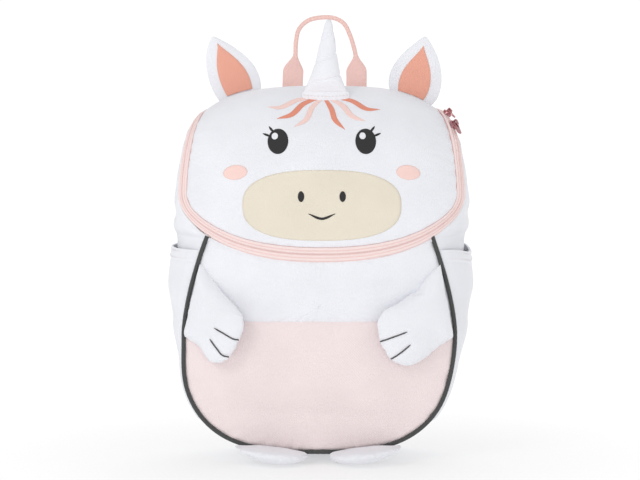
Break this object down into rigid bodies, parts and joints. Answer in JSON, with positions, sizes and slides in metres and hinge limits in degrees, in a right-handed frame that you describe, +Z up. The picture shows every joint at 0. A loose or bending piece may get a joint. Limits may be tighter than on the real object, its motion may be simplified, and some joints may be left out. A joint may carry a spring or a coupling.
{
  "type": "kids backpack",
  "caption": "Child's zipped backpack in the form of a white unicorn, with padded ears, horn, arms and feet, pink zip and belly, side pockets and a grab handle.",
  "frame": {"origin": "middle of the flat base, on the surface the bag stands on", "axes": "+Z up, -Y the front with the face, +X to the viewer's right in the front view"},
  "size_m": [0.2568, 0.1744, 0.3712],
  "materials": {
    "white_cloth": "fine plain weave",
    "pink_cloth": "fine plain weave",
    "coral_cloth": "fine plain weave",
    "zip_tape": "ribbed tape",
    "zip_coil": "moulded coil",
    "dark_piping": "covered cord",
    "pink_webbing": "woven webbing",
    "pink_plastic": "moulded",
    "rose_metal": "satin plated"
  },
  "bodies": {
    "bag": {"face_flap": "white_cloth", "belly_upper": "white_cloth", "gusset": "white_cloth", "pocket_left": "white_cloth", "pocket_right": "white_cloth", "ear_left": "white_cloth", "ear_right": "white_cloth", "horn": "white_cloth", "arm_left": "white_cloth", "arm_right": "white_cloth", "foot_left": "white_cloth", "foot_right": "white_cloth", "back_panel": "white_cloth", "strap_left": "white_cloth", "strap_right": "white_cloth", "belly_lower": "pink_cloth", "zip_tape_upper": "zip_tape", "zip_tape_lower": "zip_tape", "zip_coil": "zip_coil", "ear_inner_left": "coral_cloth", "ear_inner_right": "coral_cloth", "piping": "dark_piping", "handle": "pink_webbing", "strap_webbing_left": "pink_webbing", "strap_webbing_right": "pink_webbing", "strap_lock_left": "pink_plastic", "strap_lock_right": "pink_plastic", "zip_slider_upper": "rose_metal", "zip_slider_lower": "rose_metal"},
    "upper_pull": {"zip_pull_upper": "rose_metal"},
    "lower_pull": {"zip_pull_lower": "rose_metal"}
  },
  "joints": [
    {"name": "upper_pull_hinge", "type": "hinge", "parent": "bag", "child": "upper_pull", "pos_m": [0.10724, 0.00638, 0.29009], "axis": [-0.7024, -0.4191, 0.5753], "range_deg": [0, 140]},
    {"name": "lower_pull_hinge", "type": "hinge", "parent": "bag", "child": "lower_pull", "pos_m": [0.11191, -0.00931, 0.28046], "axis": [-0.6692, -0.6271, 0.3987], "range_deg": [0, 140]}
  ]
}
